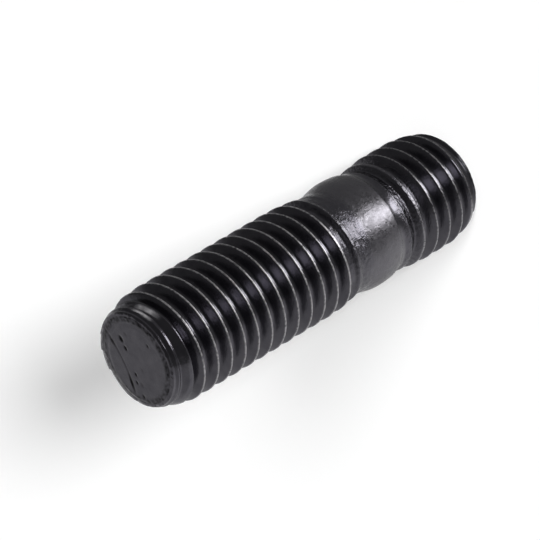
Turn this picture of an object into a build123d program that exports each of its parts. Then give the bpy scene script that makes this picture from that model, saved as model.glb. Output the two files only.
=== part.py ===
"""Double ended stud, M10 x 1.5: 25 mm nut side, 10 mm tap end, 35 mm overall.

One headless steel rod, thread rolled at both ends, with a plain shank between.
It stands on the flat of its tap end: origin at the centre of that flat, +Z up
along the axis, nut end on top.  All lengths are in millimetres.
"""

from build123d import *
import os
from math import radians, tan

os.makedirs("parts", exist_ok=True)

# ---- thread ---------------------------------------------------------------
NOMINAL_D = 10.0
PITCH = 1.5                  # coarse pitch of this size
CREST_PLAY = 0.09            # rolled crests stay this far under nominal
CREST_W = 0.19               # flat on the crest
FLANK_DEG = 30.0             # half of the 60 degree profile
DEPTH = 0.87                 # crest to the flat at the bottom of the groove
NUT_CREST = 0.87             # first crest below the nut end, on the -Y side
TAP_CREST = 1.24             # first crest above the tap end, on the -Y side

# ---- lengths along the axis -----------------------------------------------
TAP_END = 10.0               # goes into the casting, up to the shank
NUT_SIDE = 25.0              # stands out of the casting, shank and nut thread
SHANK = 2.5                  # between the edges of the plain shank
SHANK_EASE = 0.7             # the shank narrows to its edges over this length
FILLET = 1.2                 # shank edge down to the neck, tap side
SHOULDER = 0.8               # shank edge down to the neck, nut side
NUT_NECK = 0.8               # plain blank between shoulder and nut thread
NUT_RUNOUT = 3.0             # nut thread fades out over this length
TAP_RUNOUT = 1.9             # tap thread fades out over this length

# ---- diameters ------------------------------------------------------------
NECK_D = 9.0                 # blank that the threads are rolled on
SHANK_EDGE_D = 9.58          # at both edges of the shank
SHANK_D = 9.74               # in the middle of the shank
TIP_D = 8.2                  # flat at both ends

# ---- lead at both tips ----------------------------------------------------
CHAMFER = 0.3                # steep chamfer round the flat, axial
CHAMFER_D = 8.86             # where the steep chamfer ends
LEAD = 2.6                   # crests reach full size this far from the tip

# ---- sheared strip across the nut end -------------------------------------
SHEAR_DEG = 2.0              # slope of the strip, which lies almost level
SHEAR_OFFSET = 2.0           # from the axis to the line where it starts
SHEAR_TURN = -13.0           # turn of that line about the axis

# ---- overlaps that leave no mark on the stud ------------------------------
CLEAR = 0.08                 # groove cutter outside the crests
CORE_D = 7.9                 # core, inside the thread grooves
CORE_END = 0.5               # core, inside both ends

LENGTH = TAP_END + NUT_SIDE
CREST_R = (NOMINAL_D - CREST_PLAY) / 2
NECK_R = NECK_D / 2
SHANK_R = SHANK_D / 2
SHANK_EDGE_R = SHANK_EDGE_D / 2
TIP_R = TIP_D / 2
CORE_R = CORE_D / 2

# Heights of the changes in outline, from the tap end up
TAP_FADE = TAP_END - FILLET - TAP_RUNOUT
TAP_NECK = TAP_END - FILLET
SHANK_TOP = TAP_END + SHANK
NECK_LOW = SHANK_TOP + SHOULDER
NECK_HIGH = NECK_LOW + NUT_NECK
NUT_FADE = NECK_HIGH + NUT_RUNOUT


def turned(points):
    """Solid of revolution from (radius, height) points that start and end on the axis."""
    outline = Polyline(*[(r, 0, z) for r, z in points], close=True)
    return revolve(Face(Wire(outline.edges())), Axis.Z)


def groove(crest, low, high):
    """Right hand helical groove that covers low to high, one set of faces per turn.

    crest is the height of any one crest on the -Y side.
    """
    half_open = (PITCH - CREST_W) / 2
    slope = tan(radians(FLANK_DEG))
    profile = [
        (CREST_R - DEPTH, half_open - DEPTH * slope),
        (CREST_R + CLEAR, half_open + CLEAR * slope),
        (CREST_R + CLEAR, -half_open - CLEAR * slope),
        (CREST_R - DEPTH, -half_open + DEPTH * slope),
    ]
    middle = crest - PITCH / 2
    start = middle - PITCH * (int((middle - low) / PITCH) + 2)
    turns = int((high - start) / PITCH) + 2

    faces = []
    for turn in range(turns):
        corners = [
            Edge.make_helix(PITCH, PITCH, r)
            .rotate(Axis.Z, -90)
            .translate((0, 0, start + turn * PITCH + z))
            for r, z in profile
        ]
        faces += [
            Face.make_surface_from_curves(a, b) for a, b in zip(corners, corners[1:] + corners[:1])
        ]
        if turn in (0, turns - 1):
            end = 0 if turn == 0 else 1
            faces.append(Face(Wire.make_polygon([c.position_at(end) for c in corners], close=True)))
    return Solid(Shell(faces))


# Blank: core under the threads, necks and shank
blank = turned([
    (0, CORE_END),
    (CORE_R, CORE_END),
    (CORE_R, TAP_FADE),
    (NECK_R, TAP_NECK),
    (SHANK_EDGE_R, TAP_END),
    (SHANK_R, TAP_END + SHANK_EASE),
    (SHANK_R, SHANK_TOP - SHANK_EASE),
    (SHANK_EDGE_R, SHANK_TOP),
    (NECK_R, NECK_LOW),
    (NECK_R, NECK_HIGH),
    (CORE_R, NUT_FADE),
    (CORE_R, LENGTH - CORE_END),
    (0, LENGTH - CORE_END),
])

# Threads: chamfered tip, full crests and run-out into the neck, less the groove
tap_outline = turned([
    (0, 0),
    (TIP_R, 0),
    (CHAMFER_D / 2, CHAMFER),
    (CREST_R, LEAD),
    (CREST_R, TAP_FADE),
    (NECK_R, TAP_NECK),
    (0, TAP_NECK),
])
nut_outline = turned([
    (0, NECK_HIGH),
    (NECK_R, NECK_HIGH),
    (CREST_R, NUT_FADE),
    (CREST_R, LENGTH - LEAD),
    (CHAMFER_D / 2, LENGTH - CHAMFER),
    (TIP_R, LENGTH),
    (0, LENGTH),
])
tap_thread = tap_outline - groove(TAP_CREST, 0, TAP_NECK)
nut_thread = nut_outline - groove(LENGTH - NUT_CREST, NECK_HIGH, LENGTH)
rod = blank + tap_thread + nut_thread

# Sheared strip: everything over a plane that slopes off to the rim
hinge = Rot(Z=SHEAR_TURN) * Pos(0, SHEAR_OFFSET, LENGTH) * Rot(X=-SHEAR_DEG)
over_strip = hinge * Box(
    2 * NOMINAL_D, NOMINAL_D, NOMINAL_D, align=(Align.CENTER, Align.MIN, Align.MIN)
)
stud = rod - over_strip

export_step(stud, "parts/stud.step")
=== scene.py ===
"""Looks for the double ended stud: one finely modelled steel piece in a plain studio.

The row frame stands the stud on its tap end, +Z up.  Stations along it are written
as a depth below the nut end in millimetres, and turns as an angle from -Y towards -X
in radians.
"""

import math

import bmesh
import bpy
import numpy as np
from mathutils import Matrix, Vector


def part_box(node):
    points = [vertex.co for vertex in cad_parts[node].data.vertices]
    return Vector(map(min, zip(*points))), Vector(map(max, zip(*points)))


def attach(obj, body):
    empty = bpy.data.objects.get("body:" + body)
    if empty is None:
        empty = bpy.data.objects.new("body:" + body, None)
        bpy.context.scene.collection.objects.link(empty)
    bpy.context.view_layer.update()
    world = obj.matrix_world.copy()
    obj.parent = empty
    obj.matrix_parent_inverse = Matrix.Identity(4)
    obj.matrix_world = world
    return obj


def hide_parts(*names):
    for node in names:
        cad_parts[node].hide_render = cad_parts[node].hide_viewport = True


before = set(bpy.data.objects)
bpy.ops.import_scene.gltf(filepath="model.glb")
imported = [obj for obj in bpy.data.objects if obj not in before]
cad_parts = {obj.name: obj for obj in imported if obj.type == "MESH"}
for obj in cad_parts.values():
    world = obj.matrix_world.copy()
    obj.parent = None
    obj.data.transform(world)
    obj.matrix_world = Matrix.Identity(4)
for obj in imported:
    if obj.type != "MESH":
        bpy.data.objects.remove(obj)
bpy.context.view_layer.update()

MM = 0.001
TURN = 2 * math.pi
LOW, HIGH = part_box("stud")
LENGTH = (HIGH.z - LOW.z) / MM
INSET = 0.004                # keeps the finished crests inside the solid's box
CREST = (HIGH.x - LOW.x) / 2 / MM - INSET

# ---- thread ---------------------------------------------------------------
PITCH = 1.5
NUT_CREST = 0.871            # first crest below the nut end at turn 0
TAP_CREST = 27.762           # one crest of the tap thread at turn 0
SLIP_SPAN = (20.5, 26.5)     # rows slide here from one thread's phase to the other's
CREST_FLAT = 0.055           # half of the crest's flat
CREST_WEAR = 0.012           # rubbed off the crests all round
CREST_EASE, ROOT_EASE = 0.035, 0.05   # rounding of the crests' corners and of the grooves' foot
DEPTH = 0.90
FLANK_DEG = 30               # half of the 60 degree profile
FLANK = math.tan(math.radians(90 - FLANK_DEG))  # radial drop per millimetre along the axis

# ---- sheared strip across the nut end -------------------------------------
STRIP_LINE = (1.95, -0.225, 0.057)  # y where it starts: at x = 0, per x and per x squared
STRIP_SLOPE = 0.028
STRIP_EASE = 0.12            # how far the slope's start is rounded
CREASE_DEEP = 0.045          # along the strip's edge
CREASE_HALF = 0.22           # half width of that crease
CREASE_ENDS = (-2.5, -2.1, 2.7, 3.1)  # x over which its painted shade fades in and out
OPEN_LEFT, OPEN_RIGHT = (-1.35, 1.0), (2.3, 0.8)  # where it is torn open: middle x, half width

# ---- pressed flat and rolled rim of the nut end ---------------------------
FLAT_X, FLAT_Y = -0.45, 0.3  # its middle lies a little off the axis
FLAT_EDGE = (3.25, 3.55)     # it rounds off between these radii
FLAT_DROP = 0.028
RING_START, RING_PITCH = 3.0, 0.30    # faint rings about the axis: counted from, and spacing
RING_FADE = (2.95, 3.15)     # they fade in between these radii
RING_SIDE = (-1.35, 1.0)     # turn where they are deepest, and how far they reach beside it
RING_DEEP = 0.030
RIM_FROM = 0.88              # share of the rim's radius where it starts to roll over
RIM_DROP, RIM_ROUGH = 0.03, 0.022
DIRT_SPAN = (0.82, 0.92)     # shares of the rim's radius over which the dirt fades in

# Small irregular dents in the nut end: x, y, size and depth
PITS = [(1.24, 0.67, 0.42, 0.06), (2.05, 0.54, 0.55, 0.07), (0.49, -2.17, 0.32, 0.04),
        (-1.55, 1.75, 0.34, 0.05), (-0.95, 1.30, 0.34, 0.05), (-1.95, 1.30, 0.50, 0.012),
        (-0.95, 0.20, 0.34, 0.012), (2.20, -0.30, 0.50, 0.012), (-2.80, 1.95, 0.42, 0.04)]
PIT_FLATTEN = 1.6            # how much longer they are along x than along y
PIT_SHADE = 35               # how dark the painted shade in a dent turns per millimetre of its depth

# Small dents in the shank: turn, depth, size and how deep
DINGS = [(0.16, 24.35, 0.22, 0.030), (0.22, 24.62, 0.16, 0.028), (0.11, 24.75, 0.15, 0.024),
         (0.28, 24.30, 0.13, 0.020), (-0.02, 24.86, 0.14, 0.020), (-0.20, 22.60, 0.16, 0.018)]

# ---- stretches of the side: fade in over the first pair, out over the second -
TORN_NUT = (18.6, 20.2, 21.4, 22.7)      # torn metal at the nut thread's run-out
TORN_TAP = (25.9, 26.5, 28.4, 29.4)      # and at the tap thread's
TORN_DEEP = 0.034
SMOOTH_SHANK = (21.9, 22.5, 25.1, 25.5)
SHANK_WAVE = 0.006           # depth of its slow waves
UNRUBBED = (19.4, 20.6, 27.2, 28.4)      # crests here carry no bright line
FAINT_FROM, FAINT = (25.0, 26.0), 0.45   # the tap side's lines are fainter by this share

# ---- bright line along the crests -----------------------------------------
WEAR_UNDER = (0.20, 0.02)    # it fades in between these depths under the full radius
WEAR_HALF = (0.040, 0.070)   # half width where it is full and where it ends, in pitches
WEAR_START = (0.9, 1.2)      # it fades in this far past the first crest

# ---- mesh -----------------------------------------------------------------
MARKS = ("worn", "plain", "tear", "facet", "painted_shade_and_dirt")  # carried to the material, the painted shade and dirt last
COLUMNS = 180
# Rows of one pitch, in pitches from the middle of a crest
PROFILE = [-0.5, -0.455, -0.41, -0.35, -0.28, -0.21, -0.14, -0.085, -0.06, -0.036,
           0.0, 0.036, 0.06, 0.085, 0.14, 0.21, 0.28, 0.35, 0.41, 0.455]
TOP_RINGS, LOW_RINGS = 60, 8

# Radius by depth below the nut end: outside the crests, and under the grooves
CREST_LINE = [(0.0, 3.3), (0.8, 3.9), (1.2, 4.54), (1.5, 4.70), (1.8, 4.79), (2.7, CREST),
              (18.0, CREST), (19.4, 4.87), (20.4, 4.72), (21.1, 4.55), (26.1, 4.53), (26.9, 4.68),
              (27.9, 4.82), (29.0, CREST), (32.4, CREST), (33.4, 4.78), (34.1, 4.62), (34.7, 4.42),
              (35.0, 4.12)]
CORE_LINE = [(0.0, 3.6), (1.2, 4.05), (2.4, 4.05), (17.5, 4.02), (19.0, 4.14),
             (20.2, 4.36), (20.9, 4.47), (21.6, 4.50), (22.1, 4.54), (22.6, 4.68), (23.1, 4.79),
             (23.6, 4.86), (24.1, 4.865), (24.7, 4.83), (25.1, 4.79), (25.3, 4.74), (25.6, 4.60),
             (25.9, 4.52), (26.3, 4.49), (27.0, 4.30), (27.8, 4.08), (28.6, 4.02), (32.6, 4.04),
             (34.2, 4.10), (35.0, 4.08)]

# Bruised nut end, on its -Y side: two folded ledges, then a cone up to the first crest
TIP_LINE = [(0.0, 3.56), (0.09, 3.81), (0.20, 3.84), (0.32, 3.81), (0.42, 3.92), (0.52, 4.07),
            (0.64, 4.08), (0.76, 4.03), (0.88, 4.10), (1.04, 4.32), (1.20, 4.54), (1.33, 4.575),
            (1.48, 4.555), (1.65, 4.62), (2.0, 4.78)]
TIP_EASE = 0.05              # how far the corners of that line are eased
TIP_CREST_SLIP = 0.33        # the first crest was pushed this far from the end
TIP_OPENS = 0.45             # round the back the filled groove reaches only this deep

# Two flats pressed beside the first crest: turn, flat half width, half width at the edge
OUTER_FACET = (-0.80, 0.12, 0.32)
INNER_FACET = (-0.76, 0.16, 0.36)
OUTER_FACET_DEPTH = 0.64
FACET_DEEP = 0.035


def smooth(edge0, edge1, x):
    t = np.clip((x - edge0) / (edge1 - edge0), 0.0, 1.0)
    return t * t * (3 - 2 * t)


def plateau(x, inner, outer):
    """One within inner of nought, falling smoothly to nothing at outer."""
    return smooth(outer, inner, np.abs(x))


def bump(centre, width, x):
    """One at centre, falling smoothly to nothing a width away."""
    return plateau(x - centre, 0.0, width)


def stretch(stations, x):
    """One between the middle two of four stations, nothing outside the outer two."""
    start, full, last, end = stations
    return smooth(start, full, x) * smooth(end, last, x)


def soft_min(a, b, k):
    h = np.clip(0.5 + 0.5 * (b - a) / k, 0.0, 1.0)
    return b + (a - b) * h - k * h * (1 - h)


def soft_max(a, b, k):
    return -soft_min(-a, -b, k)


def along(line, depth, ease=0.16):
    """Radius from a line of (depth, radius) points, with its corners eased."""
    stations, radii = zip(*line)
    return sum(w * np.interp(depth + e * ease, stations, radii)
               for e, w in ((-1, 0.15), (-0.5, 0.22), (0, 0.26), (0.5, 0.22), (1, 0.15)))


def tip_spread(turn):
    """How much wider the nut end's rim is at a turn than on its -Y side."""
    behind = bump(3.58, 0.6, turn % TURN)
    return 0.28 - 0.33 * np.cos(turn) + 0.05 * np.cos(turn) ** 2 + 0.10 * behind


def rim_radius(turn):
    """Radius of the nut end's rim."""
    return TIP_LINE[0][1] + tip_spread(turn)


def pushed(depth):
    """Where a depth ends up once the blow on the nut end has pushed the first crest."""
    return depth + TIP_CREST_SLIP * smooth(2.2, 1.0, depth)


def lattice(i, j, k, seed):
    """Repeatable values from 0 to 1 at whole-numbered lattice points."""
    h = (i * 374761393 + j * 668265263 + k * 2147483647 + seed * 1274126177) & 0xFFFFFFFF
    h = ((h ^ (h >> 13)) * 1103515245) & 0xFFFFFFFF
    return ((h ^ (h >> 16)) & 0xFFFF) / 65535.0


def noise(x, y, z, size, seed):
    """Smooth noise from -1 to 1 with features of about that size in millimetres."""
    p = [np.asarray(v, dtype=float) / size + 400.0 for v in (x, y, z)]
    whole = [np.floor(v).astype(np.int64) for v in p]
    part = [v - w for v, w in zip(p, whole)]
    part = [t * t * (3 - 2 * t) for t in part]
    total = 0.0
    for a in (0, 1):
        for b in (0, 1):
            for c in (0, 1):
                weight = ((part[0] if a else 1 - part[0]) * (part[1] if b else 1 - part[1])
                          * (part[2] if c else 1 - part[2]))
                total = total + weight * lattice(whole[0] + a, whole[1] + b, whole[2] + c, seed)
    return 2 * total - 1


def thread_radius(x):
    """Radius of the rolled 60 degree profile at x millimetres from the middle of a crest."""
    x = np.abs(x)
    half = PITCH / 2
    flank = FLANK * np.maximum(x - CREST_FLAT, 0.0)
    root_r = FLANK * (half - CREST_FLAT) - DEPTH
    from_root = np.clip(half - x, 0.0, root_r)
    root = DEPTH - (root_r - np.sqrt(root_r**2 - from_root**2))
    inside = half - x < root_r * math.cos(math.radians(FLANK_DEG))
    return CREST - np.where(inside, root, flank)


def strip_line(x, y):
    """Distance past the curved line where the sheared strip starts."""
    start, per_x, per_square = STRIP_LINE
    return y - (start + per_x * x + per_square * x**2)


def torn_open(x):
    """One where the strip's edge is torn open, near both its ends."""
    return np.maximum(bump(*OPEN_LEFT, x), 0.8 * bump(*OPEN_RIGHT, x))


def within_rim(x, y):
    """Turn, distance from the axis, and that distance as a share of the rim's radius."""
    turn, reach = np.arctan2(-x, -y), np.hypot(x, y)
    return turn, reach, reach / rim_radius(turn)


def from_pit(x, y, px, py):
    """Distance from a dent's middle, in millimetres along x."""
    return np.hypot(x - px, (y - py) * PIT_FLATTEN)


def end_drop(x, y):
    """How far the nut end's surface lies below its highest point, at x, y millimetres."""
    turn, reach, inside = within_rim(x, y)
    strip = strip_line(x, y)
    drop = STRIP_SLOPE * soft_max(strip, 0.0, STRIP_EASE)
    crease = bump(0.0, CREASE_HALF, strip) * (0.35 + 0.65 * torn_open(x))
    drop = drop + CREASE_DEEP * crease * smooth(0.97, 0.85, inside)
    # the pressed flat, and faint rings on the +X side
    drop = drop + FLAT_DROP * smooth(*FLAT_EDGE, np.hypot(x - FLAT_X, y - FLAT_Y))
    rings = 0.5 + 0.5 * np.sin(TURN * (reach - RING_START) / RING_PITCH)
    drop = drop + RING_DEEP * rings * smooth(*RING_FADE, reach) * bump(*RING_SIDE, turn)
    # the rim is rolled over and rough
    rim = smooth(RIM_FROM, 1.0, inside)
    grain = 1 + noise(x, y, 0 * x, size=0.22, seed=31)
    drop = drop + rim * (RIM_DROP * rim + RIM_ROUGH * grain)
    for px, py, size, deep in PITS:
        drop = drop + deep * bump(0.0, size, from_pit(x, y, px, py))
    return np.maximum(drop, 0.0)


def end_shade_and_dirt(x, y):
    """One where the nut end is painted black: painted shade in its crease and dents, and dirt on
    its rim.
    """
    # painted shade along the crease, wider where it is torn open
    half_width = 0.12 + 0.16 * torn_open(x)
    painted_shade_and_dirt = plateau((strip_line(x, y) - 0.02) / half_width, 0.5, 1.0)
    painted_shade_and_dirt = painted_shade_and_dirt * (0.45 + 0.55 * torn_open(x)) * stretch(CREASE_ENDS, x)
    # painted shade in the dents, darker the deeper they are
    for px, py, size, deep in PITS:
        dent = bump(0.0, 0.8 * size, from_pit(x, y, px, py))
        painted_shade_and_dirt = np.maximum(painted_shade_and_dirt, PIT_SHADE * deep * dent)
    # scale and dirt on the rolled rim
    inside = within_rim(x, y)[2]
    grain = noise(x, y, 0 * x, size=0.17, seed=33)
    dirt = smooth(*DIRT_SPAN, inside) * (0.50 + 0.60 * grain)
    return np.clip(np.maximum(painted_shade_and_dirt, dirt), 0, 1)


def helical_rows():
    """Turn and depth at every row and column, and each row's distance from its crest."""
    turn = np.linspace(0, TURN, COLUMNS, endpoint=False)
    offsets, steps = [], []
    for k in range(-2, int(LENGTH / PITCH) + 1):
        for q in PROFILE:
            offsets.append(NUT_CREST + PITCH * (k + q))
            steps.append(q * PITCH)
    offsets, steps = np.array(offsets), np.array(steps)
    whole = round((TAP_CREST - NUT_CREST) / PITCH)
    slip = TAP_CREST - NUT_CREST - whole * PITCH
    rows = offsets + slip * smooth(*SLIP_SPAN, offsets)
    depth = pushed(rows[:, None] + PITCH * turn[None, :] / TURN)
    return np.broadcast_to(turn, depth.shape), depth, steps[:, None]


def fill_tip(core, turn, signed, depth, first, across, up):
    """Core radius with the tip's folds in its place, from the nut end to the first crest."""
    filled = first - (first - TIP_OPENS) * smooth(1.4, math.pi, signed)
    tip = along(TIP_LINE, depth, TIP_EASE) + tip_spread(turn) * smooth(1.25, 0.35, depth)
    grain = noise(across, up, 0.6 * depth, size=0.35, seed=7)
    tip = tip + 0.010 * grain * smooth(1.5, 1.0, depth)
    return core + (tip - core) * smooth(filled + 0.28, filled + 0.02, depth)


def facet_mark(signed, depth, first):
    """One on the two flats pressed beside the first crest."""
    turn, inner, outer = OUTER_FACET
    near_end = plateau(signed - turn, inner, outer) * plateau(depth - OUTER_FACET_DEPTH, 0.08, 0.18)
    turn, inner, outer = INNER_FACET
    by_crest = plateau(signed - turn, inner, outer) * plateau(depth - first - 0.02, 0.07, 0.17)
    return near_end + 0.8 * by_crest


def wear_mark(full, radius, depth, steps, first):
    """One on the crests that are rubbed bright."""
    under, level = WEAR_UNDER
    start, reached = WEAR_START
    rubbed = (1 - stretch(UNRUBBED, depth)) * (1 - FAINT * smooth(*FAINT_FROM, depth))
    worn = smooth(full - under, full - level, radius) * rubbed
    return worn * plateau(steps / PITCH, *WEAR_HALF) * smooth(first + start, first + reached, depth)


def side_surface():
    """Depth, turn and radius of the helical rows, and the marks for the finish."""
    turn, depth, steps = helical_rows()
    signed = (turn + math.pi) % TURN - math.pi
    across, up = CREST * np.sin(turn), CREST * np.cos(turn)
    first = pushed(NUT_CREST + PITCH * signed / TURN)

    ragged = 0.012 * noise(across, up, depth, size=0.55, seed=3)
    ragged = ragged + 0.007 * noise(across, up, depth, size=0.22, seed=5)
    full = along(CREST_LINE, depth)
    crest = full - CREST_WEAR + ragged
    core = fill_tip(along(CORE_LINE, depth), turn, signed, depth, first, across, up)
    facet = facet_mark(signed, depth, first)
    core = core - FACET_DEEP * facet

    # torn metal beside the run-outs
    tear = stretch(TORN_NUT, depth) + stretch(TORN_TAP, depth)
    rough = noise(across, up, depth, size=0.30, seed=11)
    rough = rough + 0.6 * noise(across, up, depth, size=0.16, seed=12)
    core = core + TORN_DEEP * tear * rough
    crest = crest - TORN_DEEP * tear * np.maximum(rough, 0)

    # dents and slow waves on the shank
    plain = stretch(SMOOTH_SHANK, depth)
    core = core - SHANK_WAVE * plain * (1 + noise(across, up, depth, size=0.8, seed=21))
    for at_turn, at_depth, size, deep in DINGS:
        away = np.hypot(CREST * (signed - at_turn), 1.3 * (depth - at_depth))
        core = core - deep * bump(0.0, size, away)

    thread = thread_radius(steps) + 0 * depth
    radius = soft_max(soft_min(thread, crest, CREST_EASE), core, ROOT_EASE)
    radius = np.minimum(radius, CREST)
    worn = wear_mark(full, radius, depth, steps, first)
    marks = (worn, plain, np.clip(tear, 0, 1), np.clip(facet, 0, 1), 0 * depth)
    return depth, turn, radius, np.stack(marks, -1)


def build_mesh():
    """The stud's surface, with the marks as attributes of its points."""
    depth, turn, radius, marks = side_surface()
    rows, columns = depth.shape
    x = -radius * np.sin(turn)
    y = -radius * np.cos(turn)
    top = end_drop(x, y)
    z = LENGTH - np.clip(depth, top, LENGTH)
    verts = np.stack([x, y, z], -1).reshape(-1, 3)
    marks = marks.reshape(-1, len(MARKS))
    keep = (depth > top) & (depth < LENGTH)

    # rows beyond either end collapse onto its rim
    index = np.arange(rows * columns).reshape(rows, columns)
    for j in range(columns):
        live = np.nonzero(keep[:, j])[0]
        s, c = math.sin(turn[0, j]), math.cos(turn[0, j])
        i = live[0] - 1
        r = min(rim_radius(turn[0, j]), radius[i + 1, j])
        verts[index[i, j]] = (-r * s, -r * c, LENGTH - end_drop(-r * s, -r * c))
        index[: i + 1, j] = index[i, j]
        i = live[-1] + 1
        r = min(CREST_LINE[-1][1], radius[i - 1, j])
        verts[index[i, j]] = (-r * s, -r * c, 0.0)
        index[i:, j] = index[i, j]

    # the turn's last column meets the first one pitch further on
    faces = []
    for j in range(columns):
        following = (j + 1) % columns
        shift = len(PROFILE) if following == 0 else 0
        for i in range(rows - 1 - shift):
            ring = [index[i, j], index[i + 1, j],
                    index[i + 1 + shift, following], index[i + shift, following]]
            ring = [v for n, v in enumerate(ring) if v != ring[n - 1]]
            if len(ring) >= 3:
                faces.append(ring)

    verts, marks = verts.tolist(), marks.tolist()
    no_marks = [0] * len(MARKS)

    def disc(rim, height, painted_shade_and_dirt, rings):
        """Rings of faces from a rim to the axis, with z and the mark of painted shade and dirt at
        x, y.
        """
        rim_xy = np.array([verts[v][:2] for v in rim])
        outer = rim
        for ring in range(1, rings):
            px, py = (rim_xy * (1 - ring / rings)).T
            inner = list(range(len(verts), len(verts) + columns))
            verts.extend(np.stack([px, py, height(px, py)], -1).tolist())
            marks.extend(no_marks[:-1] + [c] for c in painted_shade_and_dirt(px, py).tolist())
            for j in range(columns):
                following = (j + 1) % columns
                faces.append([outer[j], outer[following], inner[following], inner[j]])
            outer = inner
        verts.append([0, 0, float(height(np.zeros(1), np.zeros(1))[0])])
        marks.append(no_marks)
        for j in range(columns):
            faces.append([outer[j], outer[(j + 1) % columns], len(verts) - 1])

    disc(list(index[0]), lambda px, py: LENGTH - end_drop(px, py), end_shade_and_dirt, TOP_RINGS)
    disc(list(index[-1]), lambda px, py: 0 * px, lambda px, py: 0 * px, LOW_RINGS)

    mesh = bpy.data.meshes.new("stud_finished")
    mesh.from_pydata([(a * MM, b * MM, c * MM) for a, b, c in verts], [], faces)
    for n, name in enumerate(MARKS):
        layer = mesh.attributes.new(name, "FLOAT", "POINT")
        layer.data.foreach_set("value", [m[n] for m in marks])
    return mesh


def stud_piece():
    mesh = build_mesh()
    work = bmesh.new()
    work.from_mesh(mesh)
    bmesh.ops.remove_doubles(work, verts=work.verts, dist=1e-7)
    bmesh.ops.delete(work, geom=[v for v in work.verts if not v.link_faces], context="VERTS")
    bmesh.ops.recalc_face_normals(work, faces=work.faces)
    work.to_mesh(mesh)
    work.free()
    for polygon in mesh.polygons:
        polygon.use_smooth = True
    piece = bpy.data.objects.new("stud_finished", mesh)
    bpy.context.scene.collection.objects.link(piece)
    return piece


# ---- finish ---------------------------------------------------------------
class Nodes:
    """Short hand for building a node tree."""

    def __init__(self, tree):
        self.tree = tree

    def put(self, socket, value):
        if isinstance(value, bpy.types.NodeSocket):
            self.tree.links.new(value, socket)
        else:
            socket.default_value = value

    def add(self, kind, **inputs):
        node = self.tree.nodes.new(kind)
        for key, value in inputs.items():
            self.put(node.inputs[key], value)
        return node

    def math(self, operation, a, b):
        node = self.tree.nodes.new("ShaderNodeMath")
        node.operation = operation
        self.put(node.inputs[0], a)
        self.put(node.inputs[1], b)
        return node.outputs[0]

    def mix(self, factor, a, b):
        node = self.tree.nodes.new("ShaderNodeMix")
        node.data_type = "RGBA"
        self.put(node.inputs[0], factor)
        self.put(node.inputs[6], a)
        self.put(node.inputs[7], b)
        return node.outputs[2]

    def blend(self, factor, a, b):
        node = self.tree.nodes.new("ShaderNodeMix")
        self.put(node.inputs[0], factor)
        self.put(node.inputs[2], a)
        self.put(node.inputs[3], b)
        return node.outputs[0]

    def span(self, value, low, high, to_low=0.0, to_high=1.0):
        node = self.tree.nodes.new("ShaderNodeMapRange")
        for n, v in enumerate((value, low, high, to_low, to_high)):
            self.put(node.inputs[n], v)
        return node.outputs[0]

    def vector(self, operation, *values):
        node = self.tree.nodes.new("ShaderNodeVectorMath")
        node.operation = operation
        for n, value in enumerate(values):
            self.put(node.inputs[n], value)
        return node.outputs["Value" if operation in ("DOT_PRODUCT", "LENGTH") else "Vector"]

    def field(self, name):
        node = self.tree.nodes.new("ShaderNodeAttribute")
        node.attribute_name = name
        return node.outputs["Fac"]


def new_material(name):
    """A material, and the short hand for its nodes."""
    material = bpy.data.materials.new(name)
    material.use_nodes = True
    return material, Nodes(material.node_tree)


OXIDE_DARK, OXIDE_LIGHT = (0.095, 0.092, 0.106, 1), (0.125, 0.121, 0.136, 1)
SHANK_TONE = (0.175, 0.170, 0.184, 1)
RUBBED_STEEL = (0.52, 0.51, 0.52, 1)
PRESSED_STEEL = (0.50, 0.49, 0.50, 1)
# painted shade in the nut end's crease and dents, and dirt on its rim
SHADE_AND_DIRT_BLACK = (0.006, 0.006, 0.006, 1)
OXIDE_ROUGH, SHANK_ROUGH = (0.19, 0.25), (0.26, 0.42)
RUBBED_ROUGH, PRESSED_ROUGH = 0.50, 0.60
RUBBED_METAL, PRESSED_LOSS = 0.93, 0.42   # metallic value of rubbed steel, and what pressing takes
RELIEF = 0.018               # height of the fine pits in the finish, mm
THREAD_PITS, SHANK_PITS, TORN_PITS = 0.70, 1.35, 3.6  # times that; torn metal adds its own


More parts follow.
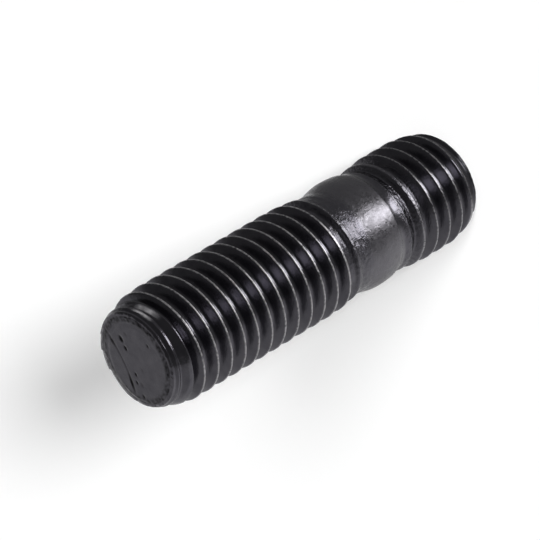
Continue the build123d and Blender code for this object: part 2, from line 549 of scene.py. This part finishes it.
def black_oxide():
    material, n = new_material("black_oxide")
    place = n.add("ShaderNodeTexCoord").outputs["Object"]

    def clouds(size_mm, detail=2.0):
        return n.add("ShaderNodeTexNoise", Vector=place, Scale=1.0 / (size_mm * MM),
                     Detail=detail).outputs["Fac"]

    worn, plain, tear, facet, painted_shade_and_dirt = [n.field(name) for name in MARKS]
    pressed = n.math("MULTIPLY", facet, n.span(clouds(0.5, 3), 0.35, 0.65, 0.55, 1.0))
    edge = n.math("MULTIPLY", worn, n.span(clouds(0.20, 3), 0.38, 0.58, 0.25, 1.0))
    patchy = clouds(0.9, 4)

    base = n.mix(n.span(patchy, 0.3, 0.7), OXIDE_DARK, OXIDE_LIGHT)
    base = n.mix(n.math("MULTIPLY", plain, 0.7), base, SHANK_TONE)
    base = n.mix(n.math("MULTIPLY", edge, 0.85), base, RUBBED_STEEL)
    base = n.mix(n.math("MULTIPLY", pressed, 0.8), base, PRESSED_STEEL)
    # painted shade in the nut end's crease and dents, and dirt on its rim
    base = n.mix(painted_shade_and_dirt, base, SHADE_AND_DIRT_BLACK)

    rough = n.span(patchy, 0.3, 0.7, *OXIDE_ROUGH)
    rough = n.blend(plain, rough, n.span(clouds(0.35, 3), 0.35, 0.65, *SHANK_ROUGH))
    rough = n.blend(edge, rough, RUBBED_ROUGH)
    rough = n.blend(pressed, rough, PRESSED_ROUGH)

    shader = n.tree.nodes["Principled BSDF"]
    n.put(shader.inputs["Base Color"], base)
    # rubbed and pressed steel is a little less than fully metallic, so that lamps light it
    loss = n.math("MULTIPLY", pressed, PRESSED_LOSS)
    metallic = n.math("SUBTRACT", n.blend(edge, 1.0, RUBBED_METAL), loss)
    n.put(shader.inputs["Metallic"], metallic)
    n.put(shader.inputs["Roughness"], rough)

    pits = n.math("ADD", clouds(0.30, 4), n.math("MULTIPLY", clouds(0.10, 2), 0.45))
    deep = n.math("ADD", n.blend(plain, THREAD_PITS, SHANK_PITS),
                  n.math("MULTIPLY", tear, TORN_PITS))
    relief = n.add("ShaderNodeBump", Strength=1.0, Distance=RELIEF * MM,
                   Height=n.math("MULTIPLY", pits, deep))
    n.put(shader.inputs["Normal"], relief.outputs["Normal"])
    return material


# ---- stud -----------------------------------------------------------------
stud = stud_piece()
stud.data.materials.append(black_oxide())
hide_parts("stud")
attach(stud, "root")

# ---- studio ---------------------------------------------------------------
FLOOR_HALF = 2.0             # half of the floor's width, metres
FLOOR_COLOR = 0.82
FLOOR_GLOW = 0.21
AMBIENT = 0.15               # of the world, to all but the camera and reflections
TABLE = (-0.70, 0.714)       # the photograph's white table is this way from the stud
TABLE_GLOW, TABLE_SHADE = 0.86, 0.68  # of that table, and the share left straight toward it
SHADE_FROM = 0.80            # cosine from the table's direction where that shade starts
ROOM_LOW, ROOM_HIGH = 0.24, 0.11      # of the dark room: on the floor, and above
CEILING, CEILING_FROM = 0.50, 0.35    # the light side falls to this, at that height of unit rays
FLOOR_EDGE, SKY_EDGE = 0.16, 0.06     # half width of the step from light to dark, as a cosine
SKY_LEAN = 0.38              # how much the light side draws back with height
SWING, SWING_SPAN = 0.25, (22, 60)    # its edge on the floor swings back so far over these mm
CARD = 6.8                   # brightness of the front card
CARD_NEAR = (-7.0, 0.3, -1.0, 1.5)    # y, height, left and right end of its edge, mm
CARD_FAR = (-62.0, 9.0, -11.0, 17.0)


def facing_table(n, away, lean):
    """Cosine of the angle between away and the table, less lean times away's height."""
    return n.vector("DOT_PRODUCT", n.vector("NORMALIZE", away), TABLE + (-lean,))


def mirrored(n):
    """One for glossy and transmission rays, else nothing."""
    rays = n.add("ShaderNodeLightPath")
    return n.math("MAXIMUM", rays.outputs["Is Glossy Ray"], rays.outputs["Is Transmission Ray"])


def pale_floor():
    """Shows white and the stud's shadow to the camera, a light and a dark side to reflections."""
    material, n = new_material("pale_floor")
    color = (FLOOR_COLOR, FLOOR_COLOR, FLOOR_COLOR, 1)
    diffuse = n.add("ShaderNodeBsdfDiffuse", Color=color)
    camera_ray = n.add("ShaderNodeLightPath").outputs["Is Camera Ray"]
    glow = n.add("ShaderNodeEmission", Strength=n.math("MULTIPLY", camera_ray, FLOOR_GLOW))
    seen = n.add("ShaderNodeAddShader")
    n.put(seen.inputs[0], diffuse.outputs[0])
    n.put(seen.inputs[1], glow.outputs[0])

    # the light side's edge swings back with distance, and it is shaded straight to the table
    place = n.add("ShaderNodeTexCoord").outputs["Object"]
    facing = facing_table(n, place, 0.0)
    near, far = SWING_SPAN
    swing = n.span(n.vector("LENGTH", place), near * MM, far * MM, 0.0, SWING)
    light = n.span(n.math("SUBTRACT", facing, swing), -FLOOR_EDGE, FLOOR_EDGE)
    table = n.span(facing, SHADE_FROM, 1.0, TABLE_GLOW, TABLE_GLOW * TABLE_SHADE)
    reflected = n.add("ShaderNodeEmission", Strength=n.blend(light, ROOM_LOW, table))

    either = n.add("ShaderNodeMixShader", Fac=mirrored(n))
    n.put(either.inputs[1], seen.outputs[0])
    n.put(either.inputs[2], reflected.outputs[0])
    n.put(n.tree.nodes["Material Output"].inputs["Surface"], either.outputs[0])
    return material


def studio_floor():
    side = FLOOR_HALF
    corners = [(-side, -side, 0), (side, -side, 0), (side, side, 0), (-side, side, 0)]
    mesh = bpy.data.meshes.new("floor")
    mesh.from_pydata(corners, [], [(0, 1, 2, 3)])
    mesh.materials.append(pale_floor())
    floor = bpy.data.objects.new("floor", mesh)
    floor.location.z = LOW.z
    bpy.context.scene.collection.objects.link(floor)


def front_card():
    """Bright fan in front of the stud that only reflections see."""
    material, n = new_material("card_white")
    glow = n.add("ShaderNodeEmission", Strength=CARD)
    n.put(n.tree.nodes["Material Output"].inputs["Surface"], glow.outputs[0])
    corners = []
    for y, z, left, right in (CARD_NEAR, CARD_FAR):
        corners += [(left * MM, y * MM, z * MM), (right * MM, y * MM, z * MM)]
    mesh = bpy.data.meshes.new("front_card")
    mesh.from_pydata(corners, [], [(0, 1, 3, 2)])
    mesh.materials.append(material)
    card = bpy.data.objects.new("front_card", mesh)
    card.location.z = LOW.z
    card.visible_camera = card.visible_diffuse = card.visible_shadow = False
    bpy.context.scene.collection.objects.link(card)


def sun(name, azimuth, elevation, strength, spread):
    """A soft light from that azimuth (0 is -Y, 90 is +X) in degrees, left out of reflections."""
    a, e = math.radians(azimuth), math.radians(elevation)
    away = Vector((math.sin(a) * math.cos(e), -math.cos(a) * math.cos(e), math.sin(e)))
    data = bpy.data.lights.new(name, "SUN")
    data.energy = strength
    data.angle = math.radians(spread)
    obj = bpy.data.objects.new(name, data)
    obj.matrix_world = (-away).to_track_quat("-Z", "Y").to_matrix().to_4x4()
    obj.visible_glossy = False
    bpy.context.scene.collection.objects.link(obj)


def studio_world():
    """White to the camera, a light and a dark side to reflections, a low level to the rest."""
    world = bpy.data.worlds.new("studio")
    world.use_nodes = True
    n = Nodes(world.node_tree)
    away = n.add("ShaderNodeTexCoord").outputs["Generated"]
    camera_ray = n.add("ShaderNodeLightPath").outputs["Is Camera Ray"]
    height = n.add("ShaderNodeSeparateXYZ", Vector=away).outputs["Z"]
    table = n.span(height, 0.0, CEILING_FROM, TABLE_GLOW, CEILING)
    light = n.span(facing_table(n, away, SKY_LEAN), -SKY_EDGE, SKY_EDGE)
    level = n.blend(mirrored(n), AMBIENT, n.blend(light, ROOM_HIGH, table))
    background = n.tree.nodes["Background"]
    n.put(background.inputs["Color"], (1, 1, 1, 1))
    n.put(background.inputs["Strength"], n.blend(camera_ray, level, 1.0))
    return world


studio_floor()
front_card()
sun("key", azimuth=-0.5, elevation=24, strength=4.35, spread=9)
sun("fill", azimuth=15, elevation=42, strength=1.35, spread=18)
bpy.context.scene.world = studio_world()

# ---- camera ---------------------------------------------------------------
ELEVATION = 35.506           # degrees that it looks down by, from the -Y side
ROLL = 120.553               # degrees that it is turned about its line of sight
DISTANCE = 0.28509           # metres
AIM_DEPTH = 16.77            # depth below the nut end of the point that it is placed by
OFFSET_RIGHT, OFFSET_DOWN = 1.409, 0.052  # of that point from the middle of the picture, mm
FOCAL, SENSOR = 235.02, 36   # focal length and width of the sensor, mm


def camera():
    """Sees the stud from where the photograph was taken."""
    e, roll = math.radians(ELEVATION), math.radians(ROLL)
    forward = Vector((0, math.cos(e), -math.sin(e)))
    level = Vector((1, 0, 0))
    rise = level.cross(forward)
    right = math.cos(roll) * level - math.sin(roll) * rise
    up = right.cross(forward)
    aim = Vector((0, 0, LOW.z + (LENGTH - AIM_DEPTH) * MM))
    place = aim - DISTANCE * forward - OFFSET_RIGHT * MM * right + OFFSET_DOWN * MM * up
    data = bpy.data.cameras.new("camera")
    data.sensor_width = SENSOR
    data.lens = FOCAL
    data.clip_start = 0.01
    obj = bpy.data.objects.new("camera", data)
    obj.matrix_world = (Matrix.Translation(place)
                        @ Matrix((right, up, -forward)).transposed().to_4x4())
    bpy.context.scene.collection.objects.link(obj)
    bpy.context.scene.camera = obj


camera()
bpy.context.scene.view_settings.view_transform = "Standard"
